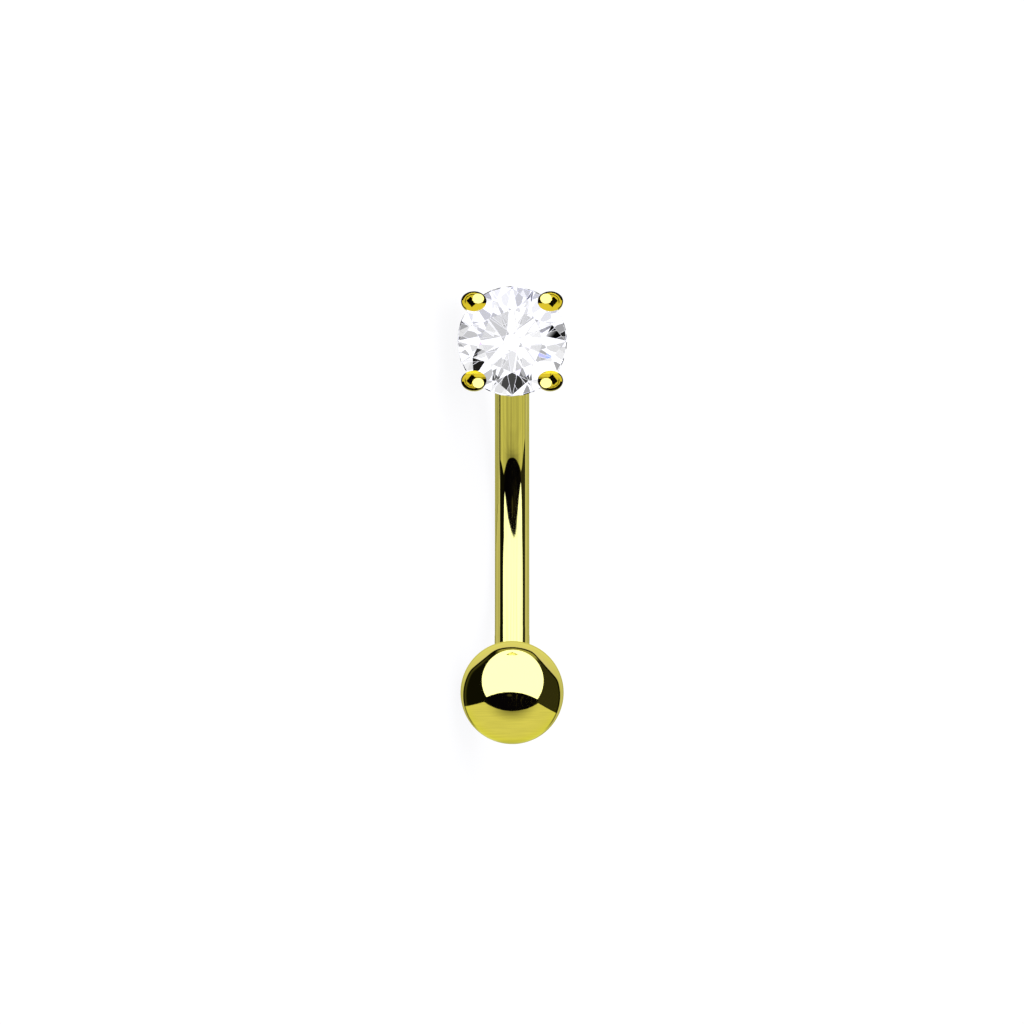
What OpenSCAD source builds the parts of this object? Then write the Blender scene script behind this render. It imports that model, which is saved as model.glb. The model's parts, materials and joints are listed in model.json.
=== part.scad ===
// Eyebrow barbell: a curved bar with a four-prong set stone at one end and a screw-on ball at the other.
// The modules draw it upright, as it is worn: the ball's centre is the origin there, X points to the
// viewer's right, Y points into the brow and Z points up.
// The last step lays it on its side, as it comes to rest on a table: it touches the table with the
// ball, one prong and the bend of the bar, and the origin lies on the table under its middle.

/* [Ball] */
// Diameter of the ball
ball_d = 3; // [2.8:0.1:3.4]

/* [Bar] */
// Diameter of the bar, 18 gauge
bar_d = 1.02; // [0.96:0.02:1.06]
// Radius of the bend, at the middle of the bar
bend_r = 5.1; // [4.9:0.1:5.3]
// Degrees that the bend turns below its furthest point back
lower_turn = 52; // [49:1:54]
// Degrees that the bend turns above its furthest point back
upper_turn = 18; // [16:1:20]
// Straight length from the ball's centre to the bend
lower_straight = 2.6; // [2.4:0.1:2.8]
// Straight length from the bend up into the heel of the setting
upper_straight = 1.95; // [1.85:0.05:2]

/* [Threaded tip] */
// Diameter over the thread
thread_d = 0.92; // [0.88:0.02:0.94]
// Pitch of the thread
thread_pitch = 0.25; // [0.2:0.05:0.3]
// Number of thread ridges
thread_turns = 6; // [4:1:6]
// Distance from the ball's centre to the bar's shoulder
shoulder_reach = 1.26; // [1.22:0.02:1.3]

/* [Stone] */
// Diameter of the round brilliant
stone_d = 3.2; // [3:0.1:3.2]
// Height of the crown above the girdle
crown_h = 0.48; // [0.4:0.02:0.5]
// Thickness of the girdle
girdle_h = 0.1; // [0.08:0.02:0.14]
// Depth of the pavilion below the girdle
pavilion_h = 1.36; // [1.2:0.02:1.4]
// Width of the table over its corners, as a share of the stone
table_share = 0.57; // [0.5:0.01:0.62]

/* [Setting] */
// Height of the stone's centre above the ball's centre
head_height = 10.2; // [9.9:0.1:10.4]
// Depth of the setting, from the prong tips to its back
head_depth = 2.7; // [2.6:0.1:2.9]
// Distance from the prong tips back to the middle of the girdle
girdle_depth = 0.85; // [0.8:0.05:0.9]
// Width across the outsides of two prongs, left to right
prong_span_x = 2.96; // [2.9:0.02:3.0]
// Height across the outsides of two prongs
prong_span_z = 2.88; // [2.8:0.02:2.96]
// Width of one prong
prong_w = 0.74; // [0.66:0.02:0.8]
// Height of one prong
prong_h = 0.58; // [0.54:0.02:0.62]
// Diameter of the round wall between the prongs
gallery_d = 2.76; // [2.7:0.02:2.8]
// Thickness of the heel that joins the setting to the bar
heel_w = 1.1; // [1.08:0.02:1.3]

/* [Hidden] */
$fn = 64;

// Gap left between the stone and the metal round it
stone_gap = 0.03;
// Gap between the thread's ridges and the ball's bore, and round the bar in the ball's recess
thread_gap = 0.04;
recess_gap = 0.05;
// Gap between the bar's shoulder and the floor of the recess
shoulder_gap = 0.02;
// How deep the thread is cut and how far the bore runs on past the tip
thread_depth = 0.08;
bore_spare = 0.2;

// The wire is drawn this much thinner where it is bent, and its straight ends run this far into the bend
bend_thinning = 0.01;
overlap = 0.02;

// The bend's centre, seen from the side: y is the depth and z the height
bend_y = lower_straight * sin(lower_turn) - bend_r * cos(lower_turn);
bend_z = lower_straight * cos(lower_turn) + bend_r * sin(lower_turn);
// Where the bend meets the upper straight
upper_y = bend_y + bend_r * cos(upper_turn);
upper_z = bend_z + bend_r * sin(upper_turn);

// The prong tips lie this far in front of the ball's centre
head_front = 0.8;
// Bore behind the stone, the floor that closes it and the hollow of the wall's front edge
gallery_bore_d = 2;
gallery_floor = 0.25;
gallery_front = 1.1;
scallop_depth = 0.5;
// Distances of a prong's middle from the stone's axis
prong_x = (prong_span_x - prong_w) / 2;
prong_z = (prong_span_z - prong_h) / 2;

// Side view of the heel, in depth and height from the middle of the prong tips
heel_top = 1.1;
heel_top_depth = 3.35;
heel_bottom_depth = 4.75;
heel_bottom = -1.4;
heel_corner_r = 0.2;

// Facets of the brilliant, each ring as its radius and its height off the girdle's edge: the table's
// corners, the tips of the star facets, and the tips of the lower girdle facets
facet_turn = 45;
stone_r = stone_d / 2;
table_r = stone_r * table_share;
star_r = stone_r * 0.78;
star_h = crown_h * (stone_r - star_r * cos(facet_turn / 2)) / (stone_r - table_r);
low_r = stone_r * 0.24;
low_h = pavilion_h * (1 - low_r / stone_r * cos(facet_turn / 2));

// Lying on its side it touches the table with the ball, the bend and the back end of one lower prong
bend_tube_r = (bar_d - bend_thinning) / 2;
resting_prong = [-prong_span_x / 2, head_depth - head_front, head_height - prong_z];

// The way down in the upright frame, once the face is rolled up and the bar's length is levelled
function down(roll, level) =
    [-cos(roll) * cos(level), sin(roll) * cos(level), -sin(level)];

// How much lower than the ball the bend and the prong reach
function bend_sink(way) =
    way.y * bend_y + way.z * bend_z + bend_r * norm([way.y, way.z]) + bend_tube_r - ball_d / 2;
function prong_sink(way) = way * resting_prong - ball_d / 2;

// Newton steps to the two angles, roll and level, at which neither reaches lower than the ball
function settle(angles, steps) =
    steps == 0 ? angles :
    let (small = 0.01,
         here = down(angles[0], angles[1]),
         rolled = down(angles[0] + small, angles[1]),
         levelled = down(angles[0], angles[1] + small),
         bend = bend_sink(here),
         prong = prong_sink(here),
         bend_roll = (bend_sink(rolled) - bend) / small,
         bend_level = (bend_sink(levelled) - bend) / small,
         prong_roll = (prong_sink(rolled) - prong) / small,
         prong_level = (prong_sink(levelled) - prong) / small,
         scale_down = bend_roll * prong_level - bend_level * prong_roll)
    settle([angles[0] - (bend * prong_level - prong * bend_level) / scale_down,
            angles[1] - (bend_roll * prong - prong_roll * bend) / scale_down], steps - 1);

rest_angles = settle([15, 3], 6);
face_roll = rest_angles[0];
length_level = rest_angles[1];

// The lying part's middle, seen from above and measured from the ball's centre: along its length it
// reaches from the stone's rim to the ball, and across it from the ball to the bend
stone_reach = head_height * cos(length_level)
    + (girdle_depth - head_front) * sin(face_roll) * sin(length_level) + stone_d / 2;
bend_reach = (bend_y + bend_r) * cos(face_roll) + bend_tube_r;
middle_x = (ball_d / 2 - stone_reach) / 2;
middle_y = (bend_reach - ball_d / 2) / 2;

// Height at which a point lies on the plane through three others
function plane_height(a, b, c, at) =
    let (n = cross(b - a, c - a)) (n * a - n.x * at.x - n.y * at.y) / n.z;

function around(radius, angle, height) = [radius * cos(angle), radius * sin(angle), height];

// One edge of the girdle, four points to a facet turn: every second point is a corner of two facets,
// and those between lie on the facet that ends in a tip
function girdle_edge(height, tips) =
    [for (j = [0:31])
        let (corner_turn = facet_turn / 2,
             on = around(stone_r, facet_turn / 4 * j, height),
             before = around(stone_r, corner_turn * floor(j / 2), height),
             after = around(stone_r, corner_turn * (floor(j / 2) + 1), height))
        j % 2 == 0 ? on : [on.x, on.y, plane_height(tips[floor(j / 4)], before, after, on)]];

module along_lower_end() {
    rotate([-lower_turn, 0, 0]) children();
}

module at_head() {
    translate([0, -head_front, head_height]) children();
}

// Turns a shape drawn along Z so that its Z runs back from the prong tips
module facing_back() {
    rotate([-90, 0, 0]) children();
}

// Rings of the thread's pitch, from the bar's shoulder down
module threaded_tip() {
    root_r = thread_d / 2 - thread_depth;
    ridge_r = thread_d / 2;
    tip_length = thread_turns * thread_pitch;
    ridges = [for (turn = [0:thread_turns - 1], edge = [0, 1])
        [edge == 0 ? root_r : ridge_r, -(turn + edge / 2) * thread_pitch]];
    translate([0, 0, shoulder_reach])
        rotate_extrude()
            polygon(concat(
                [[0, overlap], [root_r, overlap]], ridges, [[root_r, -tip_length], [0, -tip_length]]));
}

module curved_bar() {
    along_lower_end() {
        translate([0, 0, shoulder_reach])
            cylinder(d = bar_d, h = lower_straight - shoulder_reach + overlap);
        threaded_tip();
    }
    translate([0, bend_y, bend_z])
        rotate([90, 0, 90])
            rotate([0, 0, -lower_turn])
                rotate_extrude(angle = lower_turn + upper_turn)
                    translate([bend_r, 0]) circle(d = bar_d - bend_thinning);
    translate([0, upper_y, upper_z])
        rotate([upper_turn, 0, 0]) translate([0, 0, -overlap])
            cylinder(d = bar_d, h = upper_straight + overlap);
}

// A flat-sided post with a round end, which leans over the stone's edge
module prong() {
    tip_r = prong_h / 2;
    hull()
        for (side = [-1, 1])
            translate([side * (prong_w - prong_h) / 2, tip_r, 0]) facing_back() {
                sphere(r = tip_r, $fn = 32);
                cylinder(r = tip_r, h = head_depth - tip_r, $fn = 32);
            }
}

// The round wall between the prongs, hollowed along its front edge, with a closed back
module gallery() {
    half_chord = prong_z - prong_h / 2;
    scallop_r = (half_chord * half_chord + scallop_depth * scallop_depth) / (2 * scallop_depth);
    scallop_y = gallery_front + scallop_depth - scallop_r;
    difference() {
        translate([0, gallery_front, 0])
            facing_back() cylinder(d = gallery_d, h = head_depth - gallery_front);
        for (turn = [0:90:270])
            rotate([0, turn, 0]) translate([0, scallop_y, half_chord])
                cylinder(r = scallop_r, h = gallery_d);
        facing_back() cylinder(d = gallery_bore_d, h = head_depth - gallery_floor);
    }
}

// The wedge behind the setting, into whose lower face the bar runs
module heel() {
    front = head_depth - gallery_floor / 2;
    back_angle = atan2(heel_bottom_depth - heel_top_depth, heel_top - heel_bottom);
    corner_y = heel_bottom_depth - heel_corner_r;
    corner_z = heel_bottom + heel_corner_r;
    corner = [for (angle = [-90:15:90 - back_angle])
        [corner_y + heel_corner_r * cos(angle), corner_z + heel_corner_r * sin(angle)]];
    rotate([90, 0, 90])
        linear_extrude(height = heel_w, center = true)
            polygon(concat(
                [[front, heel_top], [front, heel_bottom]], corner, [[heel_top_depth, heel_top]]));
}

// The stone's outline when it spins, grown by the gap, so that the pocket clears every facet
module stone_pocket() {
    half_girdle = girdle_h / 2 + stone_gap;
    translate([0, girdle_depth, 0])
        facing_back() rotate_extrude()
            polygon([
                [0, -half_girdle - crown_h - stone_gap],
                [table_r + stone_gap, -half_girdle - crown_h - stone_gap],
                [star_r + stone_gap, -half_girdle - star_h],
                [stone_r + stone_gap, -half_girdle],
                [stone_r + stone_gap, half_girdle],
                [low_r + stone_gap, half_girdle + low_h],
                [0, half_girdle + pavilion_h + stone_gap]]);
}

module bar_with_setting() {
    color("#c8bc48") {
        difference() {
            union() {
                curved_bar();
                at_head() {
                    gallery();
                    heel();
                    for (x = [-1, 1], z = [-1, 1])
                        translate([x * prong_x, 0, z * prong_z]) prong();
                }
            }
            at_head() stone_pocket();
        }
    }
}

// Round brilliant, drawn with its table up and the middle of its girdle at zero
module brilliant() {
    half = girdle_h / 2;
    half_turn = facet_turn / 2;
    tables = [for (i = [0:7]) around(table_r, facet_turn * i, half + crown_h)];
    stars = [for (i = [0:7]) around(star_r, facet_turn * i + half_turn, half + star_h)];
    lows = [for (i = [0:7]) around(low_r, facet_turn * i + half_turn, -half - low_h)];
    upper = girdle_edge(half, stars);
    lower = girdle_edge(-half, lows);
    // Number that the first point of each ring has in the list of points
    star_at = 8;
    low_at = 16;
    upper_at = 24;
    lower_at = 56;
    culet_at = 88;
    table_face = [[for (i = [7:-1:0]) i]];
    star_faces = [for (i = [0:7]) [i, (i + 1) % 8, star_at + i]];
    kite_faces = [for (i = [0:7]) [i, star_at + i, upper_at + 4 * i, star_at + (i + 7) % 8]];
    upper_faces = [for (i = [0:7], side = [0, 2])
        [star_at + i, upper_at + (4 * i + side + 2) % 32, upper_at + 4 * i + side + 1,
         upper_at + 4 * i + side]];
    girdle_faces = [for (j = [0:31])
        [upper_at + j, upper_at + (j + 1) % 32, lower_at + (j + 1) % 32, lower_at + j]];
    lower_faces = [for (i = [0:7], side = [0, 2])
        [low_at + i, lower_at + 4 * i + side, lower_at + 4 * i + side + 1,
         lower_at + (4 * i + side + 2) % 32]];
    main_faces = [for (i = [0:7])
        [culet_at, low_at + (i + 7) % 8, lower_at + 4 * i, low_at + i]];
    polyhedron(
        points = concat(tables, stars, lows, upper, lower, [[0, 0, -half - pavilion_h]]),
        faces = concat(table_face, star_faces, kite_faces, upper_faces, girdle_faces,
                       lower_faces, main_faces));
}

module stone() {
    color("#f4f6ff")
        at_head() translate([0, girdle_depth, 0]) rotate([90, 0, 0]) brilliant();
}

// A ball with a hole for the thread and a shallow recess for the bar's shoulder
module ball() {
    tip_end = shoulder_reach - thread_turns * thread_pitch;
    recess_floor = shoulder_reach - shoulder_gap;
    color("#c8bc48")
        difference() {
            sphere(d = ball_d);
            along_lower_end() {
                translate([0, 0, tip_end - bore_spare])
                    cylinder(r = thread_d / 2 + thread_gap, h = ball_d);
                translate([0, 0, recess_floor])
                    cylinder(r = bar_d / 2 + recess_gap, h = ball_d);
            }
        }
}

// Turns the upright part onto its side, with the head to the left and the face rolled up
module lying() {
    translate([-middle_x, -middle_y, ball_d / 2])
        rotate([0, length_level, 0]) rotate([-face_roll, 0, 0]) rotate([0, -90, 0]) children();
}

lying() bar_with_setting();
lying() stone();
lying() ball();
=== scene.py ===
import json
from math import asin, atan2, copysign, cos, hypot, pi, radians, sin, sqrt

import bmesh
import bpy
from mathutils import Matrix, Vector


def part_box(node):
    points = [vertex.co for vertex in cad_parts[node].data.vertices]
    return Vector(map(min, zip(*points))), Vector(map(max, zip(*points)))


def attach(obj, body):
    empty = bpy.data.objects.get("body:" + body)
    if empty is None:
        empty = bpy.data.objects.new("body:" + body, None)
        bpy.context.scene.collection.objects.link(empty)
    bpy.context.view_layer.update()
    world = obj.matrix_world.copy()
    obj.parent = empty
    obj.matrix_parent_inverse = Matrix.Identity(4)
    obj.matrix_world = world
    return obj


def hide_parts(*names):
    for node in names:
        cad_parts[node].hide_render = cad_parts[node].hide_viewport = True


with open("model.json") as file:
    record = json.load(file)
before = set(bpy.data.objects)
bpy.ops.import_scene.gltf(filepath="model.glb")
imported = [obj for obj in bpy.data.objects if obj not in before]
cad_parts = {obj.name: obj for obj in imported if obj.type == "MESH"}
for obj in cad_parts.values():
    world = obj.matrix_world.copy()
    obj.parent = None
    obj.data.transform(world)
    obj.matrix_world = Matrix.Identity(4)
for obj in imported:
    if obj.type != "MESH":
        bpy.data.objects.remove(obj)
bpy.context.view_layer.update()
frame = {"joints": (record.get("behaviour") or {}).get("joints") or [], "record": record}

# The barbell is drawn upright, as it is worn, in millimetres: the ball's centre is the origin there, X
# points to the viewer's right, Y into the brow and Z up. Each piece is then laid where the frame has it.

# Ball and bar; the ball and the bend are a hair thinner than the solids, to stay inside their box
BALL_R = 1.4975
BAR_R = 0.51
BEND_BAR_R = 0.504
BEND_R = 5.1
LOWER_TURN = radians(52)
UPPER_TURN = radians(18)
LOWER_STRAIGHT = 2.6
UPPER_STRAIGHT = 1.95

# Threaded tip, and the hole for it in the ball
SHOULDER_REACH = 1.26
SHOULDER_STEPS = ((0.0, 0.05), (0.02, 0.015), (0.06, 0.0))  # along the bar, and inside its surface
THREAD_CREST_R = 0.46
THREAD_ROOT_R = 0.38
THREAD_PITCH = 0.25
THREAD_TURNS = 6
THREAD_ROWS = 12
THREAD_START = 0.2
THREAD_END = 0.12
THREAD_STEEPNESS = 1.25
BORE_R = 0.50
RECESS_R = 0.56
RECESS_FLOOR = 1.24
BORE_FLOOR = SHOULDER_REACH - THREAD_TURNS * THREAD_PITCH - 0.2

# Setting, from the middle of the prong tips
HEAD_PLACE = Vector((0, -0.8, 10.2))
HEAD_DEPTH = 2.7
PRONG_MIDDLE = Vector((1.11, 0, 1.15))
PRONG_HALF_W = 0.37
PRONG_HALF_H = 0.29
PRONG_LEAN = Vector((0.07, 0, 0.03))
GALLERY_R = 1.38
GALLERY_BORE_R = 1.0
GALLERY_FLOOR = 0.25
HEEL_W = 1.1
HEEL_SIDE = ((2.575, 1.1), (2.575, -1.4), (4.75, -1.4), (3.35, 1.1))
HEEL_CORNER_R = 0.2
HEEL_EDGE = 0.045
HEEL_SHARP = 0.5
WALL_EDGE = 0.05
WALL_FRONT = 1.1
SCALLOP_DEPTH = 0.5
SCALLOP_HALF_CHORD = 0.86

# Stone
STONE_R = 1.6
CROWN_H = 0.48
GIRDLE_H = 0.1
PAVILION_H = 1.36
TABLE_R = STONE_R * 0.57
STAR_R = STONE_R * 0.78
LOW_R = STONE_R * 0.24
GIRDLE_DEPTH = 0.85
FACET_EDGE = 0.0045
GIRDLE_RIM = 0.03
RIM_SHARE = 0.98
STONE_IOR = 2.15
MOST_BOUNCES = 14

# Where the bend begins and ends, seen from the side
BEND_Y = LOWER_STRAIGHT * sin(LOWER_TURN) - BEND_R * cos(LOWER_TURN)
BEND_Z = LOWER_STRAIGHT * cos(LOWER_TURN) + BEND_R * sin(LOWER_TURN)


# How the barbell lies: its upright axes, from the way along the bend's middle and the way off the tip
def lying_matrix():
    mount_lean = radians(10)
    along = -Vector(frame["record"]["mounts"][0]["axis"])
    off = Vector(frame["joints"][0]["axis"])
    spread = sin(LOWER_TURN - mount_lean)
    back = ((-cos(LOWER_TURN) * along - cos(mount_lean) * off) / spread).normalized()
    up = ((sin(LOWER_TURN) * along + sin(mount_lean) * off) / spread).normalized()
    right = back.cross(up)
    low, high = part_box("ball")
    turn = Matrix((right, back, up)).transposed().to_4x4()
    return Matrix.Translation((low + high) / 2) @ turn @ Matrix.Scale(0.001, 4)


LIE = lying_matrix()
RIGHT = LIE.to_3x3() @ Vector((1, 0, 0)) * 1000
FACING = LIE.to_3x3() @ Vector((0, -1, 0)) * 1000
UP = LIE.to_3x3() @ Vector((0, 0, 1)) * 1000


def mirror_normal(right, up):
    """The normal with which a spot mirrors what a mirror ball shows at this share of its radius."""
    return Vector((right, -sqrt(1 - right * right - up * up), up))


# Meshes


def grid_mesh(rings, name):
    """A closed skin through rings of points; a ring of one point is a pole."""
    mesh = bpy.data.meshes.new(name)
    points, starts = [], []
    for ring in rings:
        starts.append(len(points))
        points += ring
    faces = []
    for i in range(len(rings) - 1):
        a, b = rings[i], rings[i + 1]
        count = max(len(a), len(b))
        for j in range(count):
            k = (j + 1) % count
            corners = []
            low, high = (starts[i], a), (starts[i + 1], b)
            for (start, ring), place in ((low, j), (low, k), (high, k), (high, j)):
                corner = start + (place if len(ring) > 1 else 0)
                if corner not in corners:
                    corners.append(corner)
            faces.append(corners)
    mesh.from_pydata(points, [], faces)
    mesh.update()
    return mesh


def face_outward(mesh):
    shape = bmesh.new()
    shape.from_mesh(mesh)
    bmesh.ops.recalc_face_normals(shape, faces=shape.faces)
    shape.to_mesh(mesh)
    shape.free()


def add_piece(mesh, name, body, slot, node, material, sharp=32, normals=None):
    """Lays a mesh where the frame has it and makes it ride on its body."""
    mesh.transform(LIE)
    face_outward(mesh)
    mesh.shade_smooth()
    mesh.set_sharp_from_angle(angle=radians(sharp))
    piece = bpy.data.objects.new(name, mesh)
    bpy.context.scene.collection.objects.link(piece)
    mesh.materials.append(material)
    if normals:
        turn = LIE.to_3x3()
        mesh.normals_split_custom_set_from_vertices([(turn @ n).normalized() for n in normals])
    piece.visible_glossy = slot != "gold_metal"
    piece.visible_transmission = slot != "gold_metal"
    piece.visible_diffuse = False
    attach(piece, body)
    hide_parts(node)
    return piece


def ring(radius, height, sides):
    if radius == 0:
        return [Vector((0, 0, height))]
    turns = [2 * pi * i / sides for i in range(sides)]
    return [Vector((radius * cos(a), radius * sin(a), height)) for a in turns]


def along_lower_end(points):
    turn = Matrix.Rotation(-LOWER_TURN, 3, "X")
    return [turn @ p for p in points]


# Ball: lathed round the bar's lower end, with the threaded hole inside
def ball_mesh():
    sides, steps = 128, 84
    lip, corner = 0.03, 0.02
    mouth = sqrt(BALL_R ** 2 - (RECESS_R + lip) ** 2)
    profile = [(0, BORE_FLOOR), (BORE_R / 2, BORE_FLOOR), (BORE_R, BORE_FLOOR + corner),
               (BORE_R, RECESS_FLOOR - corner), (BORE_R + corner / 2, RECESS_FLOOR),
               (RECESS_R, RECESS_FLOOR + corner / 2), (RECESS_R, mouth - lip / 2),
               (RECESS_R + lip * 0.3, mouth - lip * 0.1)]
    first = atan2(RECESS_R + lip, mouth)
    for i in range(steps + 1):
        turn = first + (pi - first) * i / steps
        profile.append((BALL_R * sin(turn) if i < steps else 0, BALL_R * cos(turn)))
    return grid_mesh([along_lower_end(ring(r, h, sides)) for r, h in profile], "ball_skin")


# Bar: its centre line, as places and the lean of the way along it
def bar_route():
    lower_steps, bend_steps, upper_steps = 9, 90, 10
    foot = Vector((0, sin(LOWER_TURN), cos(LOWER_TURN)))
    start = SHOULDER_REACH + SHOULDER_STEPS[-1][0]
    for i in range(lower_steps):
        yield foot * (start + (LOWER_STRAIGHT - start) * i / lower_steps), -LOWER_TURN
    for i in range(bend_steps + 1):
        lean = -LOWER_TURN + (LOWER_TURN + UPPER_TURN) * i / bend_steps
        top = Vector((0, BEND_Y + BEND_R * cos(lean), BEND_Z + BEND_R * sin(lean)))
        yield top, lean
    way = Vector((0, -sin(UPPER_TURN), cos(UPPER_TURN)))
    for i in range(1, upper_steps + 1):
        yield top + way * UPPER_STRAIGHT * i / upper_steps, UPPER_TURN


def to_front(lean):
    """The way to the front, square to a bar that leans back by this angle."""
    return Vector((0, -cos(lean), -sin(lean)))


# The bar's shine, as height and sine of the lean that it mirrors the studio with: nearly straight in the
# middle, where it draws the lens's reflection out into a point, and bent above
SHINE = ((0.8, -0.5), (3.0, -0.26), (4.0, -0.08), (4.35, -0.024), (4.55, -0.01), (4.8, 0.005),
         (5.1, 0.024), (5.4, 0.045), (5.7, 0.072), (6.1, 0.13), (6.5, 0.235), (6.75, 0.3),
         (6.98, 0.352), (7.25, 0.46), (8.0, 0.52), (11.0, 0.6))

# How far aside the point in the middle lies, as height and share of the half width
ASIDE = ((4.45, 0.17), (5.0, 0.08), (5.6, 0.065), (6.6, 0.03), (6.9, 0.0))
POINT_SHARE = 0.5

# The bar's flanks, left and then right: where each dark band ends, as height and how far it has ended, and
# what is mirrored below and above that, as share of the half width and the share where a round bar shows it
BAND_END = (((6.55, 0.0), (7.0, 1.0)),
            ((6.8, 0.0), (7.6, 1.0)))
LOW_FLANKS = (((0.0, 0.0), (0.52, 0.575), (0.705, 0.92), (1.0, 1.0)),
              ((0.0, 0.0), (0.62, 0.6), (0.75, 0.92), (1.0, 1.0)))
HIGH_FLANKS = (((0.0, 0.0), (0.74, 0.7), (1.0, 0.9)),
               ((0.0, 0.0), (0.75, 0.7), (1.0, 0.92)))

# The bar's rims, left and then right: the share of the half width where the pale rim begins, the share where
# its outer part begins, by height, and the place on a mirror ball, right and up, that each part shows
RIM = (0.705, 0.75)
OUTER_RIM = (((4.2, 0.95), (5.6, 0.82)),
             ((4.2, 0.88), (5.0, 0.82), (7.8, 0.82), (8.2, 0.87)))
RIM_MIRRORS = (0.76, 0.5)
OUTER_RIM_MIRRORS = (0.95, 0.0)

# How often the drawn wire's streaks change round the bar and along it
STREAKS_ROUND = 9.0
STREAKS_ALONG = 0.12


def between(table, value):
    """The table's second number where its first one is value."""
    for (low, low_to), (high, high_to) in zip(table, table[1:]):
        if value <= high:
            return low_to + (high_to - low_to) * max(0.0, value - low) / (high - low)
    return table[-1][1]


def shine_turn(a, height):
    """Turn round the bar at which a round bar would mirror what this one does at turn a."""
    hand = 1 if sin(a) > 0 else 0
    rise = between(BAND_END[hand], height)
    share = abs(sin(a))
    share = (1 - rise) * between(LOW_FLANKS[hand], share) + rise * between(HIGH_FLANKS[hand], share)
    aside = between(ASIDE, height) * max(0.0, 1 - (sin(a) / POINT_SHARE) ** 2)
    return asin(copysign(min(1.0, share), sin(a)) - aside)


def bar_mesh():
    sides = 128
    rings, normals = [], []
    foot = Vector((0, sin(LOWER_TURN), cos(LOWER_TURN)))

    def add(place, radius_at, lean, shiny=False):
        towards = to_front(lean)
        turned = to_front(asin(between(SHINE, place.z)))
        points = []
        for i in range(sides):
            a = 2 * pi * i / sides
            out = towards * cos(a) + Vector((1, 0, 0)) * sin(a)
            radius = radius_at(a) if callable(radius_at) else radius_at
            points.append(place + out * radius)
            normal = out if shiny else Vector()
            if shiny and cos(a) > 0:
                b = shine_turn(a, place.z)
                normal = turned * cos(b) + Vector((1, 0, 0)) * sin(b)
                hand, share = sin(a) > 0, abs(sin(a))
                if share > between(OUTER_RIM[hand], place.z):
                    normal = mirror_normal(copysign(OUTER_RIM_MIRRORS[0], sin(a)), OUTER_RIM_MIRRORS[1])
                elif share > RIM[hand]:
                    normal = mirror_normal(copysign(RIM_MIRRORS[0], sin(a)), RIM_MIRRORS[1])
            normals.append(normal)
        rings.append(points)

    # Thread: the ridge winds round once for each pitch and fades out at both ends
    length = THREAD_TURNS * THREAD_PITCH
    rows = THREAD_TURNS * THREAD_ROWS
    tip = foot * (SHOULDER_REACH - length)
    rings.append([tip])
    normals.append(Vector())
    add(tip, THREAD_ROOT_R * 0.8, -LOWER_TURN)
    for i in range(1, rows + 1):
        reach = length * i / rows
        fade = min(1, reach / THREAD_START, (length - reach) / THREAD_END + 0.01)

        def thread_radius(a, reach=reach, fade=fade):
            phase = (reach / THREAD_PITCH + a / (2 * pi)) % 1
            ridge = min(1, THREAD_STEEPNESS * (1 - abs(2 * phase - 1)))
            return THREAD_ROOT_R + (THREAD_CREST_R - THREAD_ROOT_R) * ridge * fade

        add(tip + foot * reach, thread_radius, -LOWER_TURN)
    for reach, inset in SHOULDER_STEPS[:-1]:
        add(foot * (SHOULDER_REACH + reach), BAR_R - inset, -LOWER_TURN)
    for place, lean in bar_route():
        add(place, BAR_R if lean == -LOWER_TURN else BEND_BAR_R, lean, True)
    rings.append([(rings[-1][0] + rings[-1][sides // 2]) / 2])
    normals.append(Vector((0, -sin(UPPER_TURN), cos(UPPER_TURN))))
    mesh = grid_mesh(rings, "bar_skin")

    # Where round the bar and along it each point lies, for the streaks of the drawn wire
    places = mesh.attributes.new("round_the_bar", "FLOAT_VECTOR", "POINT")
    count = 0
    for i, points in enumerate(rings):
        for j in range(len(points)):
            a = 2 * pi * j / sides
            round_it = (STREAKS_ROUND * cos(a), STREAKS_ROUND * sin(a))
            places.data[count].vector = (*round_it, STREAKS_ALONG * points[j].z)
            count += 1
    return mesh, normals


# Setting


def flat_normals(mesh):
    """Normals in which each corner follows the largest faces round it, so that flat faces stay flat."""
    normals = [Vector() for _ in mesh.vertices]
    for face in mesh.polygons:
        for corner in face.vertices:
            normals[corner] += face.normal * face.area
    return [n.normalized() for n in normals]


def place_head(mesh):
    mesh.transform(Matrix.Translation(HEAD_PLACE))
    return mesh


def scallop_front(a):
    """Depth of the wall's front edge at a turn round the stone's axis."""
    big_r = (SCALLOP_HALF_CHORD ** 2 + SCALLOP_DEPTH ** 2) / (2 * SCALLOP_DEPTH)
    best = WALL_FRONT
    for across in (GALLERY_R * sin(a), GALLERY_R * cos(a)):
        if abs(across) < SCALLOP_HALF_CHORD:
            best = max(best, WALL_FRONT + SCALLOP_DEPTH - big_r + sqrt(big_r ** 2 - across ** 2))
    return best


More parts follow.
